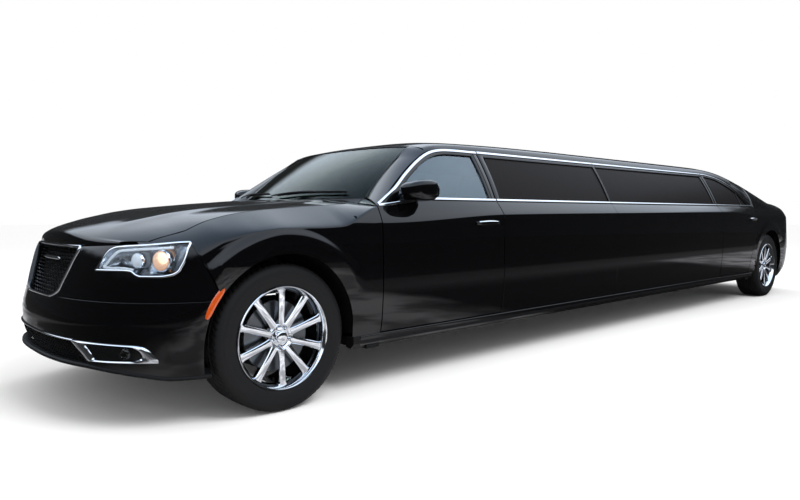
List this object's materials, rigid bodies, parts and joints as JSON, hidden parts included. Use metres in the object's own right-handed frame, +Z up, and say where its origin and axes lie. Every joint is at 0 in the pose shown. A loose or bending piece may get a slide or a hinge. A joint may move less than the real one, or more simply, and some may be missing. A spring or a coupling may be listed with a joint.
{
  "type": "stretch limousine",
  "caption": "Long black luxury saloon lengthened between its doors, with opening doors, bonnet and boot, steered front wheels and a full-length privacy-glass lounge cabin.",
  "frame": {"origin": "on the ground, under the middle of the overall length and width", "axes": "+X forward, +Y to the vehicle's left, +Z up"},
  "size_m": [8.6, 2.088, 1.485],
  "materials": {
    "body_paint": "gloss black clear-coated paint",
    "chassis_paint": "satin black",
    "cast_metal": "as cast",
    "wheel_chrome": "chrome plated",
    "tyre_rubber": "matt black rubber",
    "grille_black": "gloss black with a chrome surround",
    "clear_lens": "clear lamp lens over a dark housing",
    "window_glass": "lightly tinted",
    "privacy_glass": "dark privacy glass",
    "red_lens": "red lamp lens",
    "trim_black": "grained black",
    "seat_leather": "black leather"
  },
  "bodies": {
    "chassis": {"underbody": "chassis_paint", "engine": "cast_metal", "front_subframe": "chassis_paint", "rear_axle": "chassis_paint", "front_bumper": "body_paint", "grille": "grille_black", "headlights": "clear_lens", "fender_left": "body_paint", "fender_right": "body_paint", "cowl": "trim_black", "windshield": "window_glass", "roof": "body_paint", "side_panels": "body_paint", "side_glass": "privacy_glass", "rear_quarter_left": "body_paint", "rear_quarter_right": "body_paint", "rear_window": "privacy_glass", "taillights": "red_lens", "rear_bumper": "body_paint", "dashboard": "trim_black", "front_seats": "seat_leather", "lounge_seats": "seat_leather"},
    "hood": {"hood": "body_paint"},
    "boot_lid": {"boot_lid": "body_paint"},
    "front_door_left": {"front_door_left": "body_paint", "front_door_glass_left": "window_glass", "door_mirror_left": "body_paint"},
    "front_door_right": {"front_door_right": "body_paint", "front_door_glass_right": "window_glass", "door_mirror_right": "body_paint"},
    "rear_door_left": {"rear_door_left": "body_paint", "rear_door_glass_left": "privacy_glass"},
    "rear_door_right": {"rear_door_right": "body_paint", "rear_door_glass_right": "privacy_glass"},
    "knuckle_left": {"knuckle_left": "cast_metal"},
    "knuckle_right": {"knuckle_right": "cast_metal"},
    "wheel_front_left": {"wheel_front_left": "wheel_chrome", "tyre_front_left": "tyre_rubber"},
    "wheel_front_right": {"wheel_front_right": "wheel_chrome", "tyre_front_right": "tyre_rubber"},
    "wheel_rear_left": {"wheel_rear_left": "wheel_chrome", "tyre_rear_left": "tyre_rubber"},
    "wheel_rear_right": {"wheel_rear_right": "wheel_chrome", "tyre_rear_right": "tyre_rubber"},
    "steering_wheel": {"steering_wheel": "seat_leather"}
  },
  "joints": [
    {"name": "steer_left", "type": "hinge", "parent": "chassis", "child": "knuckle_left", "pos_m": [3.43, 0.7605, 0.22], "axis": [0, 0, 1], "range_deg": [-33, 33]},
    {"name": "steer_right", "type": "hinge", "parent": "chassis", "child": "knuckle_right", "pos_m": [3.43, -0.7605, 0.22], "axis": [0, 0, 1], "range_deg": [-33, 33]},
    {"name": "spin_front_left", "type": "hinge", "parent": "knuckle_left", "child": "wheel_front_left", "pos_m": [3.43, 0.8055, 0.36425], "axis": [0, 1, 0], "continuous": true},
    {"name": "spin_front_right", "type": "hinge", "parent": "knuckle_right", "child": "wheel_front_right", "pos_m": [3.43, -0.8055, 0.36425], "axis": [0, 1, 0], "continuous": true},
    {"name": "spin_rear_left", "type": "hinge", "parent": "chassis", "child": "wheel_rear_left", "pos_m": [-3.178, 0.8105, 0.36425], "axis": [0, 1, 0], "continuous": true},
    {"name": "spin_rear_right", "type": "hinge", "parent": "chassis", "child": "wheel_rear_right", "pos_m": [-3.178, -0.8105, 0.36425], "axis": [0, 1, 0], "continuous": true},
    {"name": "front_door_left_hinge", "type": "hinge", "parent": "chassis", "child": "front_door_left", "pos_m": [2.8215, 0.952, 0.7], "axis": [0, 0, -1], "range_deg": [0, 66]},
    {"name": "front_door_right_hinge", "type": "hinge", "parent": "chassis", "child": "front_door_right", "pos_m": [2.8215, -0.952, 0.7], "axis": [0, 0, 1], "range_deg": [0, 66]},
    {"name": "rear_door_left_hinge", "type": "hinge", "parent": "chassis", "child": "rear_door_left", "pos_m": [-1.7935, 0.952, 0.7], "axis": [0, 0, -1], "range_deg": [0, 70]},
    {"name": "rear_door_right_hinge", "type": "hinge", "parent": "chassis", "child": "rear_door_right", "pos_m": [-1.7935, -0.952, 0.7], "axis": [0, 0, 1], "range_deg": [0, 70]},
    {"name": "hood_hinge", "type": "hinge", "parent": "chassis", "child": "hood", "pos_m": [2.8265, 0, 1.02681], "axis": [0, -1, 0], "range_deg": [0, 52]},
    {"name": "boot_lid_hinge", "type": "hinge", "parent": "chassis", "child": "boot_lid", "pos_m": [-3.534, 0, 1.10983], "axis": [0, 1, 0], "range_deg": [0, 78]},
    {"name": "steering_wheel_turn", "type": "hinge", "parent": "chassis", "child": "steering_wheel", "pos_m": [2.4297, 0.37, 0.83], "axis": [-0.9063, 0, 0.4226], "range_deg": [-450, 450]}
  ],
  "couplings": [
    {"joint": "steer_right", "follows": "steer_left", "ratio": 1},
    {"joint": "steering_wheel_turn", "follows": "steer_left", "ratio": 12}
  ]
}
